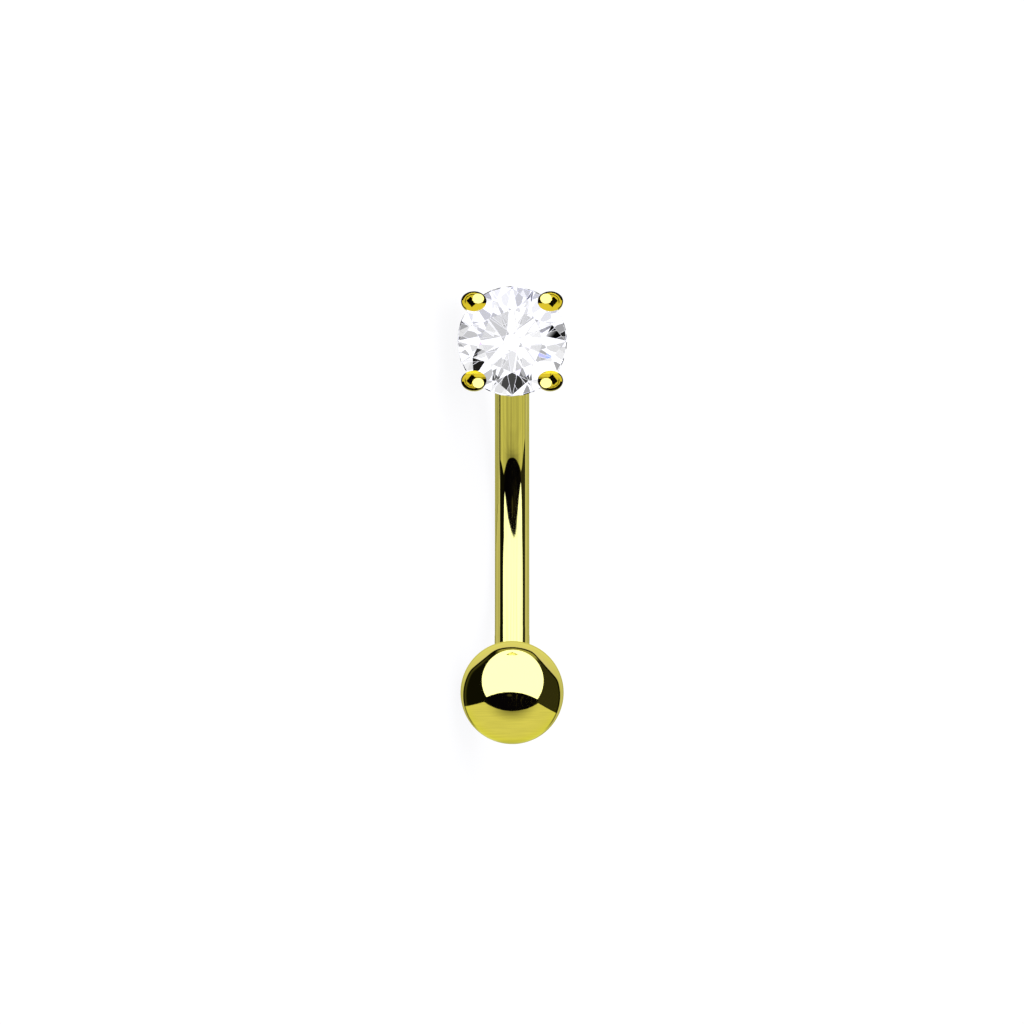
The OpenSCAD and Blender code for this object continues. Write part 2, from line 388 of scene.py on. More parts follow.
def gallery_mesh():
    sides = 160
    bevel, corner = WALL_EDGE, WALL_EDGE * 0.3
    outer_least, middle_least, inner_least, inner_step = 1.17, 1.2, 1.51, 0.06
    turns = [2 * pi * i / sides for i in range(sides)]
    rings = []

    def add(radius, depth_at):
        rings.append([Vector((radius * sin(a), depth_at(a), radius * cos(a))) for a in turns])

    def outer(a):
        return max(outer_least, scallop_front(a))

    def inner(a):
        return max(inner_least, scallop_front(a) + inner_step)

    rings.append([Vector((0, HEAD_DEPTH, 0))])
    add(GALLERY_R - bevel, lambda a: HEAD_DEPTH)
    add(GALLERY_R - corner, lambda a: HEAD_DEPTH - corner)
    add(GALLERY_R, lambda a: HEAD_DEPTH - bevel)
    for share in (0.25, 0.5, 0.75):
        back = (HEAD_DEPTH - bevel) * (1 - share)
        add(GALLERY_R, lambda a: back + max(middle_least, scallop_front(a)) * share)
    add(GALLERY_R, lambda a: outer(a) + bevel)
    add(GALLERY_R - corner, lambda a: outer(a) + corner)
    add(GALLERY_R - bevel, outer)
    add(GALLERY_BORE_R + bevel, lambda a: inner(a) - 0.02)
    add(GALLERY_BORE_R + 0.01, lambda a: inner(a) + 0.01)
    add(GALLERY_BORE_R, lambda a: inner(a) + bevel)
    add(GALLERY_BORE_R, lambda a: HEAD_DEPTH - GALLERY_FLOOR)
    rings.append([Vector((0, HEAD_DEPTH - GALLERY_FLOOR, 0))])
    return place_head(grid_mesh(rings, "gallery_skin"))


def heel_mesh():
    (front, top), (_, bottom), (low_back, _), (top_back, _) = HEEL_SIDE
    outline = [(front, top), (front, bottom)]
    slope = atan2(low_back - top_back, top - bottom)
    corner = (low_back - HEEL_CORNER_R, bottom + HEEL_CORNER_R)
    turns = 8
    for i in range(turns + 1):
        a = -pi / 2 + (pi - slope) * i / turns
        outline.append((corner[0] + HEEL_CORNER_R * cos(a), corner[1] + HEEL_CORNER_R * sin(a)))
    outline.append((top_back, top))
    shape = bmesh.new()
    sides = [[shape.verts.new((x, y, z)) for y, z in outline] for x in (-HEEL_W / 2, HEEL_W / 2)]
    shape.faces.new(sides[0])
    shape.faces.new(reversed(sides[1]))
    for i in range(len(outline)):
        j = (i + 1) % len(outline)
        shape.faces.new((sides[0][j], sides[0][i], sides[1][i], sides[1][j]))
    shape.normal_update()
    sharp = [edge for edge in shape.edges if edge.calc_face_angle() > HEEL_SHARP]
    bmesh.ops.bevel(shape, geom=sharp, offset=HEEL_EDGE, segments=3, profile=0.5, affect="EDGES")
    mesh = bpy.data.meshes.new("heel_skin")
    shape.to_mesh(mesh)
    shape.free()
    return place_head(mesh)


# What a prong's tip mirrors, in shares of its half sizes, inward to the stone's middle and up or down away
# from it: the window as middle and half sizes, the lens as a slanted bar and as dark edges and a dark line,
# and the band on the side that faces the height of the stone's middle
TIP_WINDOW = (0.34, 0.25, 0.445, 0.5)
TIP_BAR = (-0.2, -0.084)
TIP_BAR_ALONG = (0.235, -0.211)
TIP_BAR_ACROSS = (0.278, 0.179)
TIP_BAR_HALF = (0.12, 0.08)
TIP_LINE = (0.65, 0.69)
TIP_LINE_INWARD = 0.1
TIP_INNER_EDGE = 0.64
TIP_INNER_AWAY = -0.2
TIP_OUTER_EDGE = 0.92
TIP_OUTER_FROM = -0.6
TIP_FAR_EDGE = {1: 0.82, -1: 0.77}
TIP_FAR_FROM = 0.1
TIP_BAND_FROM = -0.33

# Places on a mirror ball, right and up, that the parts of a tip show
SHOWS_WINDOW = (0.05, 0.16)
SHOWS_LENS = (0.0, -0.09)
SHOWS_BENCH = (0.0, -0.62)
SHOWS_BENCH_NEAR = (0.2, -0.5)
SHOWS_BENCH_SIDE = (0.5, -0.24)
SHOWS_BACKDROP = (0.0, 0.93)
SHOWS_DARK_SIDE = (-0.66, 0.66)
BAND_HEIGHTS = (0.0, 0.74)
SIDE_HEIGHTS = (0.3, 0.72)


def tip_shine(inward, away, level):
    """Which part of the studio a spot of a prong's tip mirrors."""
    if hypot((inward - TIP_WINDOW[0]) / TIP_WINDOW[2], (away - TIP_WINDOW[1]) / TIP_WINDOW[3]) < 1:
        return "window"
    bar_in, bar_away = inward - TIP_BAR[0], away - TIP_BAR[1]
    along = bar_in * TIP_BAR_ALONG[0] + bar_away * TIP_BAR_ALONG[1]
    across = bar_in * TIP_BAR_ACROSS[0] + bar_away * TIP_BAR_ACROSS[1]
    if abs(along) < TIP_BAR_HALF[0] and abs(across) < TIP_BAR_HALF[1]:
        return "lens"
    reach = hypot(inward, away)
    on_far_edge = away > TIP_FAR_FROM and reach > TIP_FAR_EDGE[level]
    on_outer_edge = away <= TIP_FAR_FROM and inward < TIP_OUTER_FROM and reach > TIP_OUTER_EDGE
    on_inner_edge = inward > TIP_INNER_EDGE and away > TIP_INNER_AWAY
    on_line = TIP_LINE[0] < reach < TIP_LINE[1] and inward < TIP_LINE_INWARD and away > TIP_INNER_AWAY
    if on_far_edge or on_outer_edge or on_inner_edge or on_line:
        return "lens"
    return "band" if away < TIP_BAND_FROM else "side"


def tip_mirrors(inward, away, level):
    """The place on a mirror ball, inward and up, that shows the same as a spot of a prong's tip."""
    part, up = tip_shine(inward, away, level), level * away
    if part == "window":
        return SHOWS_WINDOW
    if part == "lens":
        return SHOWS_LENS
    if part == "band":
        if up < BAND_HEIGHTS[0]:
            return SHOWS_BENCH
        if up < BAND_HEIGHTS[1]:
            return copysign(SHOWS_BENCH_SIDE[0], inward), SHOWS_BENCH_SIDE[1]
        return SHOWS_BACKDROP
    if up < SIDE_HEIGHTS[0]:
        return copysign(SHOWS_BENCH_NEAR[0], inward), SHOWS_BENCH_NEAR[1]
    if up < SIDE_HEIGHTS[1]:
        return -SHOWS_BENCH_SIDE[0], SHOWS_BENCH_SIDE[1]
    return SHOWS_DARK_SIDE


def prong_mesh(side, level):
    """An egg-ended post; side is -1 at the left, level is -1 at the bottom."""
    sides, steps = 96, 36
    middle = Vector((side * PRONG_MIDDLE.x, 0, level * PRONG_MIDDLE.z))
    lean_in = Vector((-side * PRONG_LEAN.x, 0, level * PRONG_LEAN.z))
    rings, normals = [], []

    def add(scale, depth, shift, tip=False):
        ring_now = []
        for i in range(sides):
            a = 2 * pi * i / sides
            across = shift.x + PRONG_HALF_W * scale * sin(a)
            height = shift.z + PRONG_HALF_H * scale * cos(a)
            ring_now.append(middle + Vector((across, depth, height)))
            normal = Vector()
            if tip:
                inward, away = -side * across / PRONG_HALF_W, level * height / PRONG_HALF_H
                x, z = tip_mirrors(inward, away, level)
                normal = mirror_normal(-side * x, z)
            normals.append(normal)
        rings.append(ring_now)

    rings.append([middle + lean_in])
    normals.append(Vector((0, -1, 0)))
    for i in range(1, steps + 1):
        a = pi / 2 * i / steps
        add(sin(a), PRONG_HALF_H * (1 - cos(a)), lean_in * (1 - sin(a)), i < steps)
    for depth in (0.6, 1.2, 1.8, 2.4, HEAD_DEPTH - 0.05):
        add(1, depth, Vector())
    add(0.95, HEAD_DEPTH - 0.015, Vector())
    add(0.86, HEAD_DEPTH, Vector())
    rings.append([middle + Vector((0, HEAD_DEPTH, 0))])
    normals.append(Vector())
    mesh = grid_mesh(rings, "prong_skin")
    # The posts behind the stone take the head's gold. The tip spots that mirror the window take a darker
    # copy of the tip's gold, a painted dimming of that highlight
    for face in mesh.polygons:
        inward = -side * (face.center.x - middle.x) / PRONG_HALF_W
        away = level * (face.center.z - middle.z) / PRONG_HALF_H
        if face.center.y > PRONG_HALF_H:
            face.material_index = 2
        elif tip_shine(inward, away, level) == "window":
            face.material_index = 1
    return place_head(mesh), normals


# Stone


def plane_height(a, b, c, x, y):
    n = (b - a).cross(c - a)
    return (n.dot(a) - n.x * x - n.y * y) / n.z


def girdle_edge(height, tips, inset=0.0):
    """Points round the girdle; an inset edge lies as much higher as the kites slope."""
    points = []
    for j in range(32):
        turn = 2 * pi * j / 32
        x, y = (STONE_R - inset) * cos(turn), (STONE_R - inset) * sin(turn)
        z = height + inset * CROWN_H / (STONE_R - TABLE_R)
        if j % 4:
            before, after = (pi / 8 * (j // 4 * 2 + k) for k in ((0, 1) if j % 4 < 3 else (1, 2)))
            edges = [Vector((STONE_R * cos(a), STONE_R * sin(a), height)) for a in (before, after)]
            z = plane_height(tips[j // 4], *edges, x, y)
        points.append(Vector((x, y, z)))
    return points


def brilliant_cut(rim):
    """Corners and facets: table, 8 stars, 8 kites, 16 upper and 16 lower girdle facets, 8 mains, rim."""
    half = GIRDLE_H / 2
    eighth = pi / 4
    star_h = CROWN_H * (STONE_R - STAR_R * cos(eighth / 2)) / (STONE_R - TABLE_R)
    low_h = PAVILION_H * (1 - LOW_R / STONE_R * cos(eighth / 2))

    def at(r, a, h):
        return Vector((r * cos(a), r * sin(a), h))

    tables = [at(TABLE_R, eighth * i, half + CROWN_H) for i in range(8)]
    stars = [at(STAR_R, eighth * (i + 0.5), half + star_h) for i in range(8)]
    lows = [at(LOW_R, eighth * (i + 0.5), -half - low_h) for i in range(8)]
    upper = girdle_edge(half, stars, rim)
    lower = girdle_edge(-half, lows)
    culet = [Vector((0, 0, -half - PAVILION_H))]
    points = tables + stars + lows + upper + lower + culet
    STAR, LOW, UPPER, LOWER, CULET = 8, 16, 24, 56, 88  # where each group starts in points
    faces = [list(range(8))]
    for i in range(8):
        faces.append([i, (i + 1) % 8, STAR + i])
        faces.append([i, STAR + i, UPPER + 4 * i, STAR + (i + 7) % 8])
        for side in (0, 2):
            first = UPPER + 4 * i + side
            faces.append([STAR + i, UPPER + (4 * i + side + 2) % 32, first + 1, first])
            first = LOWER + 4 * i + side
            faces.append([LOW + i, first, first + 1, LOWER + (4 * i + side + 2) % 32])
        faces.append([CULET, LOW + (i + 7) % 8, LOWER + 4 * i, LOW + i])
    for j in range(32):
        k = (j + 1) % 32
        faces.append([UPPER + j, UPPER + k, LOWER + k, LOWER + j])
    return points, faces


def stone_mesh():
    points, faces = brilliant_cut(GIRDLE_RIM)
    mesh = bpy.data.meshes.new("stone_skin")
    mesh.from_pydata(points, [], faces)
    shape = bmesh.new()
    shape.from_mesh(mesh)
    for face in shape.faces:
        face.material_index = 1 if face.calc_center_median().xy.length > STONE_R * RIM_SHARE else 0
    bmesh.ops.bevel(shape, geom=shape.edges[:], offset=FACET_EDGE, segments=1, profile=0.5, affect="EDGES")
    shape.to_mesh(mesh)
    shape.free()
    mesh.transform(Matrix.Rotation(pi / 2, 4, "X"))
    mesh.transform(Matrix.Translation(Vector((0, GIRDLE_DEPTH, 0))))
    return place_head(mesh)


def bend_light(way, normal, ratio):
    """The way of light that has gone through a surface, or None where the surface mirrors it all."""
    level = -normal.dot(way)
    left = 1 - ratio * ratio * (1 - level * level)
    return None if left < 0 else way * ratio + normal * (ratio * level - sqrt(left))


def light_source(facets, right, up):
    """Where the light comes from that a place on the stone's face shows, as shares to the right and up."""

    def crossed(spot, way, hand):
        """How far away the nearest facet ahead is, or with hand -1 the one where the way enters."""
        hits = [(n.dot(corner - spot) / n.dot(way), n) for n, corner in facets if hand * n.dot(way) > 0]
        return min(hits, key=lambda hit: hand * hit[0])

    place = Vector((right, up, 0))
    eye = Vector((FRAME_MIDDLE.x, FRAME_MIDDLE.z - HEAD_PLACE.z, CAMERA_AWAY))
    way = (place - eye).normalized()
    reach, normal = crossed(place, way, -1)
    spot = place + way * reach
    way = bend_light(way, normal, 1 / STONE_IOR)
    for _ in range(MOST_BOUNCES):
        reach, normal = crossed(spot, way, 1)
        spot += way * reach
        out = bend_light(way, -normal, STONE_IOR)
        if out is not None:
            break
        way = way - normal * 2 * way.dot(normal)
    return out.x, out.y


def facet_planes():
    """Each facet's outward normal and one of its corners, with the rim upright."""
    points, faces = brilliant_cut(0.0)
    planes = []
    for face in faces:
        a, b, c = (points[i] for i in face[:3])
        normal = (b - a).cross(c - a).normalized()
        planes.append((normal if normal.dot(a) > 0 else -normal, a))
    return planes


# Shader graphs


class Graph:
    """Adds nodes to a tree; inputs are numbers or other nodes' outputs."""

    def __init__(self, tree):
        self.tree = tree
        tree.nodes.clear()

    def node(self, kind, inputs=(), **settings):
        made = self.tree.nodes.new(kind)
        for name, value in settings.items():
            setattr(made, name, value)
        for key, value in dict(inputs).items():
            self.feed(made.inputs[key], value)
        return made

    def feed(self, socket, value):
        if isinstance(value, bpy.types.NodeSocket):
            self.tree.links.new(value, socket)
        else:
            socket.default_value = value

    def math(self, operation, a, b=0.0, c=0.0, clamp=False):
        made = self.node("ShaderNodeMath", operation=operation, use_clamp=clamp)
        for socket, value in zip(made.inputs, (a, b, c)):
            self.feed(socket, value)
        return made.outputs[0]

    def dot(self, a, b):
        made = self.node("ShaderNodeVectorMath", operation="DOT_PRODUCT")
        self.feed(made.inputs[0], a)
        self.feed(made.inputs[1], b)
        return made.outputs["Value"]

    def vector(self, operation, a, b=(0, 0, 0)):
        made = self.node("ShaderNodeVectorMath", operation=operation)
        self.feed(made.inputs[0], a)
        self.feed(made.inputs[1], b)
        return made.outputs["Vector"]

    def mix(self, share, a, b):
        """Number between a and b."""
        return self.math("ADD", self.math("MULTIPLY", a, self.math("SUBTRACT", 1.0, share)),
                         self.math("MULTIPLY", b, share))

    def ramp(self, value, low, high, to_low=0.0, to_high=1.0):
        made = self.node("ShaderNodeMapRange", interpolation_type="SMOOTHSTEP")
        for name, number in (("Value", value), ("From Min", low), ("From Max", high), ("To Min", to_low),
                             ("To Max", to_high)):
            self.feed(made.inputs[name], number)
        return made.outputs["Result"]

    def away(self, x, y, middle_x, middle_y):
        dx = self.math("SUBTRACT", x, middle_x)
        dy = self.math("SUBTRACT", y, middle_y)
        return self.math("SQRT", self.math("ADD", self.both(dx, dx), self.both(dy, dy)))

    def line(self, x, y, share_x, share_y):
        return self.math("ADD", self.math("MULTIPLY", x, share_x), self.math("MULTIPLY", y, share_y))

    def inside_circle(self, x, y, middle_x, middle_y, radius, soft):
        """1 inside a circle, 0 outside, with a soft edge."""
        return self.ramp(self.away(x, y, middle_x, middle_y), radius - soft, radius + soft, 1.0, 0.0)

    def below_line(self, x, y, share_x, share_y, reach, soft):
        """1 where share_x x + share_y y is under reach."""
        return self.ramp(self.line(x, y, share_x, share_y), reach - soft, reach + soft, 1.0, 0.0)

    def both(self, a, b):
        return self.math("MULTIPLY", a, b)

    def colour_mix(self, share, a, b):
        made = self.node("ShaderNodeMix", {0: share, 6: a, 7: b}, data_type="RGBA")
        return made.outputs[2]

    def noise(self, x, y, detail, roughness):
        """Noise over a plane; x and y each come with the factor that squeezes it."""
        x, y = self.math("MULTIPLY", *x), self.math("MULTIPLY", *y)
        spot = self.node("ShaderNodeCombineXYZ", {"X": x, "Y": y})
        made = self.node("ShaderNodeTexNoise", {"Vector": spot.outputs[0], "Scale": 1.0, "Detail": detail,
                                                "Roughness": roughness})
        return made.outputs[0]

    def scaled(self, colour, light):
        made = self.node("ShaderNodeMix", {0: 1.0, 6: colour}, data_type="RGBA", blend_type="MULTIPLY")
        grey = self.node("ShaderNodeCombineColor", {"Red": light, "Green": light, "Blue": light})
        self.feed(made.inputs[7], grey.outputs[0])
        return made.outputs[2]


# Studio: what the polished metal mirrors, laid out as a mirror ball seen from the front shows it, with the
# ball's radius as 1: circles as middle and radius, and lines as x and y shares and reach. BENCH_SHADE is a
# middle and how much x is squeezed, GLINT a circle and its softness, with its height divided by GLINT_HEIGHT
WINDOW = (0.012, 0.235, 0.596)
WINDOW_SPARE = 0.03
SURROUND = (-0.008, -0.055, 0.94)
SHOULDER_LEFT = (-0.64, 0.768, 0.858)
SHOULDER_RIGHT = (0.754, 0.656, 0.831)
LENS_TOP = (-0.045, -1.043, 1.0625)
LENS_BOTTOM = (0.0, 0.588, 0.938)
BENCH_LEFT = (-0.28, 1.0, -0.03)
BENCH_RIGHT = (0.6, 1.0, 0.1)
BENCH_SHADE = (0.0, -0.27, 0.6)
GLINT = (-0.05, -0.09, 0.045, 0.025)
GLINT_HEIGHT = 2.0
EDGE = 0.005

# Its lights; GLANCING_LIGHT is the backdrop where the metal mirrors it at a glancing angle, and AMBIENT the
# light on what isn't polished
PLAIN = (1, 1, 1, 1)
WINDOW_LIGHT = (2.2, 2.4, 6.0, 1)
BACKDROP_LIGHT = (0.97, 0.95, 1.9, 1)
GLANCING_LIGHT = (0.75, 0.68, 0.22, 1)
LENS_LIGHT = (0.002, 0.0015, 0.012, 1)
GLINT_LIGHT = (0.055, 0.05, 0.06, 1)
AMBIENT = 1.12


def build_world():
    world = bpy.data.worlds.new("studio")
    bpy.context.scene.world = world
    world.use_nodes = True
    g = Graph(world.node_tree)
    direction = g.node("ShaderNodeTexCoord").outputs["Generated"]
    half = g.vector("NORMALIZE", g.vector("ADD", direction, tuple(FACING)))
    x, y = g.dot(half, tuple(RIGHT)), g.dot(half, tuple(UP))

    path = g.node("ShaderNodeLightPath").outputs
    last = g.node("ShaderNodeBackground", {"Color": (1, 1, 1, 1), "Strength": AMBIENT})
    for flag, colour in (("Is Camera Ray", (1, 1, 1, 1)), ("Is Glossy Ray", metal_light(g, x, y)),
                         ("Is Transmission Ray", stone_light(g, direction))):
        shader = g.node("ShaderNodeBackground", {"Color": colour, "Strength": 1.0})
        last = g.node("ShaderNodeMixShader", {0: path[flag], 1: last.outputs[0], 2: shader.outputs[0]})
    g.node("ShaderNodeOutputWorld", {"Surface": last.outputs[0]})


def metal_light(g, x, y):
    """The window above, the black lens at its edge, dark sides, the bench below and the backdrop around."""
    window = g.inside_circle(x, y, *WINDOW, EDGE)
    wide_window = g.inside_circle(x, y, WINDOW[0], WINDOW[1], WINDOW[2] + WINDOW_SPARE, 0.02)
    lens_top = g.inside_circle(x, y, *LENS_TOP, EDGE)
    lens_bottom = g.inside_circle(x, y, *LENS_BOTTOM, EDGE)
    bench = g.both(g.below_line(x, y, *BENCH_LEFT, EDGE), g.below_line(x, y, *BENCH_RIGHT, EDGE))
    bench = g.both(bench, g.math("SUBTRACT", 1.0, lens_bottom))

    # How deep inside the surround's edge, which is a circle with both its shoulders cut off
    depth = g.math("SUBTRACT", SURROUND[2], g.away(x, y, SURROUND[0], SURROUND[1]))
    for share_x, share_y, reach in (SHOULDER_LEFT, SHOULDER_RIGHT):
        cut = g.math("SUBTRACT", reach, g.line(x, y, share_x, share_y))
        depth = g.math("SMOOTH_MIN", depth, cut, 0.05)
    surround = g.ramp(depth, -EDGE, EDGE)

    glancing = g.ramp(g.away(x, y, 0.0, 0.0), 0.965, 0.995)
    backdrop = g.colour_mix(glancing, BACKDROP_LIGHT, GLANCING_LIGHT)
    backdrop = g.scaled(backdrop, g.ramp(y, -0.1, 0.9, 0.7, 0.95))

    # The sides are dark, with a pale streak along the left edge and a gap beside the window's top
    side_light = g.ramp(x, -0.1, 0.1, 0.006, 0.038)
    streak = g.both(g.ramp(depth, 0.04, 0.075, 1.0, 0.0), g.ramp(x, -0.6, -0.3, 0.05, 0.0))
    gap_light = g.both(g.ramp(x, -0.34, -0.2), g.both(g.ramp(y, 0.6, 0.7), g.ramp(x, 0.5, 0.65, 0.42, 0.0)))
    side_light = g.math("ADD", side_light, g.math("ADD", streak, gap_light))
    side = g.scaled(PLAIN, g.both(side_light, g.ramp(depth, 0.02, 0.032)))

    # The bench is darker in a soft patch in front of the lens and finely streaked
    shade_x, shade_y, squeeze = BENCH_SHADE
    reach = g.away(g.math("MULTIPLY", x, squeeze), y, shade_x, shade_y)
    bench_light = g.both(g.ramp(reach, 0.04, 0.33, 0.29, 0.865), g.ramp(y, -1.0, -0.88, 0.7, 1.0))
    outline = g.mix(g.ramp(y, -0.8, -0.55), 1.0, g.ramp(depth, 0.01, 0.034, 0.2, 1.0))
    bench_light = g.both(bench_light, outline)
    streaks = g.noise((x, 2.0), (y, 34.0), 3.0, 0.5)
    bench_light = g.both(bench_light, g.ramp(streaks, 0.3, 0.7, 0.93, 1.05))
    bench_colour = g.scaled(PLAIN, bench_light)

    # The lens is black, with faint flecks and one dim glint
    flecks = g.ramp(g.noise((x, 16.0), (y, 4.0), 4.0, 0.7), 0.58, 0.72)
    glint = g.inside_circle(x, g.math("MULTIPLY", y, GLINT_HEIGHT), *GLINT)
    lens = g.colour_mix(g.math("MAXIMUM", flecks, g.math("MULTIPLY", glint, 0.9)), LENS_LIGHT, GLINT_LIGHT)

    inner = g.colour_mix(bench, side, bench_colour)
    inner = g.colour_mix(g.both(lens_top, g.both(wide_window, g.math("SUBTRACT", 1.0, bench))), inner, lens)
    inner = g.colour_mix(g.both(window, g.math("SUBTRACT", 1.0, lens_top)), inner, WINDOW_LIGHT)
    return g.colour_mix(surround, backdrop, inner)


# What the stone gathers: white all round, bluish white from above, a ring of small pale and grey panels as
# shares of tone and colour, and cards that darken or tint single facets
WHITE = (1.3, 1.3, 1.42, 1)
ABOVE = (2.3, 2.35, 2.9, 1)
PANELS = ((0.0, (0.6, 0.6, 0.61, 1)), (0.14, (0.8, 0.8, 0.805, 1)), (0.32, (0.92, 0.92, 0.925, 1)),
          (0.62, (1.16, 1.16, 1.175, 1)), (0.85, WHITE))
CARD_BLUE = 1.02
CARD_EDGE = 0.0004

# Chart of the facets that aren't white: a place where the stone's face shows one, in millimetres to the
# right of its middle and above it, then the radius of its card, as a share of the card's distance, and the
# card's tone. Pale ones come first, and where two cards meet the later one counts
CHART = ((-0.15, 0.3, 0.01, 0.6), (-0.5, 0.6, 0.012, 0.6), (-0.85, 0.05, 0.01, 0.6),
         (-0.75, 0.2, 0.01, 0.7), (-0.15, 0.8, 0.01, 0.7), (0.35, 0.65, 0.012, 0.65),
         (-0.35, 0.65, 0.012, 0.7), (-0.15, 0.45, 0.01, 0.6), (-0.2, 0.45, 0.01, 0.5),
         (-0.15, 0.2, 0.01, 0.55), (-0.4, -0.7, 0.012, 0.7), (-0.15, -0.65, 0.01, 0.7),
         (0.15, -0.65, 0.01, 0.65), (-0.7, -0.4, 0.012, 0.7), (-0.1, -0.7, 0.01, 0.65),
         (-0.25, 0.1, 0.012, 0.6), (-0.25, 0.55, 0.014, 0.6), (0.25, 0.55, 0.014, 0.6),
         (-0.2, 0.55, 0.012, 0.6), (-0.5, 0.15, 0.012, 0.65), (0.75, -0.25, 0.012, 0.8),
         (-0.75, -0.25, 0.012, 0.8), (0.35, -0.7, 0.01, 0.8), (0.8, -0.55, 0.01, 0.6),
         (0.0, -0.45, 0.005, 0.85), (-1.45, -0.25, 0.016, 0.6), (1.45, -0.25, 0.016, 0.6),
         (1.35, -0.1, 0.01, 0.7), (-1.35, -0.1, 0.01, 0.7), (0.5, -0.35, 0.004, 0.85),
         (0.0, -1.5, 0.008, 0.05), (-0.15, -1.0, 0.011, 0.05), (0.15, -1.0, 0.011, 0.02),
         (0.1, -1.35, 0.013, 0.05), (-0.1, -1.35, 0.012, 0.25), (-1.05, -0.75, 0.0135, 0.0),
         (1.2, 0.4, 0.013, 0.0), (-1.05, -0.55, 0.004, 0.0),
         (0.4, -1.15, 0.016, 0.05), (-0.4, -1.15, 0.016, 0.35), (-0.45, -1.05, 0.02, 0.08),
         (0.45, -1.05, 0.02, 0.05), (0.4, -1.05, 0.016, 0.12), (-0.4, -1.05, 0.016, 0.12),
         (-1.05, -0.4, 0.016, 0.0), (0.55, -1.1, 0.013, 0.2), (-0.55, -1.1, 0.013, 0.1),
         (0.25, -1.5, 0.016, 0.2), (0.5, 1.3, 0.02, 0.2), (0.55, 1.2, 0.02, 0.2),
         (1.4, 0.1, 0.012, 0.25), (1.55, 0.2, 0.02, 0.02), (1.25, 0.35, 0.03, 0.02),
         (0.35, -1.25, 0.03, 0.05), (-1.1, -0.65, 0.03, 0.05), (0.85, -0.5, 0.02, 0.5),
         (0.3, -1.05, 0.02, 0.2), (-0.95, -0.25, 0.014, 0.05), (-1.45, 0.55, 0.05, 0.0),
         (1.55, 0.1, 0.04, 0.15), (-1.55, 0.1, 0.04, 0.15), (1.3, 0.4, 0.02, 0.4),
         (1.35, -0.75, 0.012, 0.4), (-1.3, 0.4, 0.012, 0.4), (-0.65, 1.3, 0.012, 0.5),
         (0.4, 1.3, 0.012, 0.6), (-0.5, -1.25, 0.012, 0.1), (0.5, -1.25, 0.012, 0.1),
         (0.3, -1.35, 0.012, 0.35), (-0.5, -1.0, 0.012, 0.35), (-1.55, -0.15, 0.03, 0.4),
         (-1.4, 0.1, 0.012, 0.4), (0.95, 0.35, 0.014, 0.4), (0.3, -0.8, 0.014, 0.45),
         (0.85, -0.25, 0.014, 0.45), (1.05, 0.4, 0.012, 0.25), (-0.35, -1.25, 0.03, 0.3))

# The same for facets with a tint: place, radius and colour
TINTED = ((1.05, -0.4, 0.014, (0.5, 0.62, 1.2, 1)), (1.05, -0.45, 0.014, (0.42, 0.55, 1.1, 1)),
          (0.8, -0.4, 0.02, (0.62, 0.64, 1.05, 1)), (-0.9, -0.05, 0.012, (1.0, 0.8, 1.3, 1)),
          (0.15, -0.9, 0.014, (1.15, 1.05, 1.45, 1)))


def stone_light(g, direction):
    """White surroundings with small panels and dark cards, which the stone's facets break up."""
    x, y = g.dot(direction, tuple(RIGHT)), g.dot(direction, tuple(UP))
    spot = g.node("ShaderNodeCombineXYZ", {"X": x, "Y": y}).outputs[0]
    cells = g.node("ShaderNodeTexVoronoi", {"Vector": spot, "Scale": 34.0, "Randomness": 1.0},
                   voronoi_dimensions="2D")
    tone = g.node("ShaderNodeSeparateColor", {"Color": cells.outputs["Color"]}).outputs[0]
    panels = g.node("ShaderNodeValToRGB", {"Fac": tone})
    ramp = panels.color_ramp
    ramp.interpolation = "CONSTANT"
    while len(ramp.elements) < len(PANELS):
        ramp.elements.new(1.0)
    for element, (place, colour) in zip(ramp.elements, PANELS):
        element.position = place
        element.color = colour
    reach = g.away(x, y, 0.0, 0.0)
    ring = g.both(g.ramp(reach, 0.2, 0.21), g.ramp(reach, 0.55, 0.56, 1.0, 0.0))
    light = g.colour_mix(g.ramp(y, 0.56, 0.6), WHITE, ABOVE)
    light = g.colour_mix(ring, light, panels.outputs["Color"])
    facets = facet_planes()
    cards = [(*card[:3], (card[3], card[3], card[3] * CARD_BLUE, 1)) for card in CHART]
    for right, up, radius, colour in (*cards, *TINTED):
        card_x, card_y = light_source(facets, right, up)
        light = g.colour_mix(g.inside_circle(x, y, card_x, card_y, radius, CARD_EDGE), light, colour)
    return light


def gold_material(name, colour_low, colour_high, drawn=False):
    """Polished gold whose colour varies a little; drawn wire has streaks along it."""
    material = bpy.data.materials.new(name)
    material.use_nodes = True
    g = Graph(material.node_tree)
    place = g.node("ShaderNodeTexCoord").outputs["Object"]
    fine = g.node("ShaderNodeTexNoise", {"Vector": place, "Scale": 9000.0, "Detail": 4.0, "Roughness": 0.6})
    broad = g.node("ShaderNodeTexNoise", {"Vector": place, "Scale": 900.0, "Detail": 3.0, "Roughness": 0.5})
    rough = g.ramp(broad.outputs[0], 0.35, 0.7, 0.025, 0.07)
    share = broad.outputs[0]
    if drawn:
        turn = g.node("ShaderNodeAttribute", attribute_name="round_the_bar").outputs["Vector"]
        streaks = g.node("ShaderNodeTexNoise", {"Vector": turn, "Scale": 1.0, "Detail": 5.0,
                                                "Roughness": 0.65})
        share = g.ramp(streaks.outputs[0], 0.36, 0.62)
    colour = g.colour_mix(share, colour_low, colour_high)
    bump = g.node("ShaderNodeBump", {"Height": fine.outputs[0], "Strength": 0.02, "Distance": 0.00002})
    shader = g.node("ShaderNodeBsdfPrincipled", {
        "Base Color": colour, "Metallic": 1.0, "Specular Tint": (0.97, 1.0, 0.45, 1),
        "Roughness": rough, "Normal": bump.outputs[0]})
    g.node("ShaderNodeOutputMaterial", {"Surface": shader.outputs[0]})
    return material


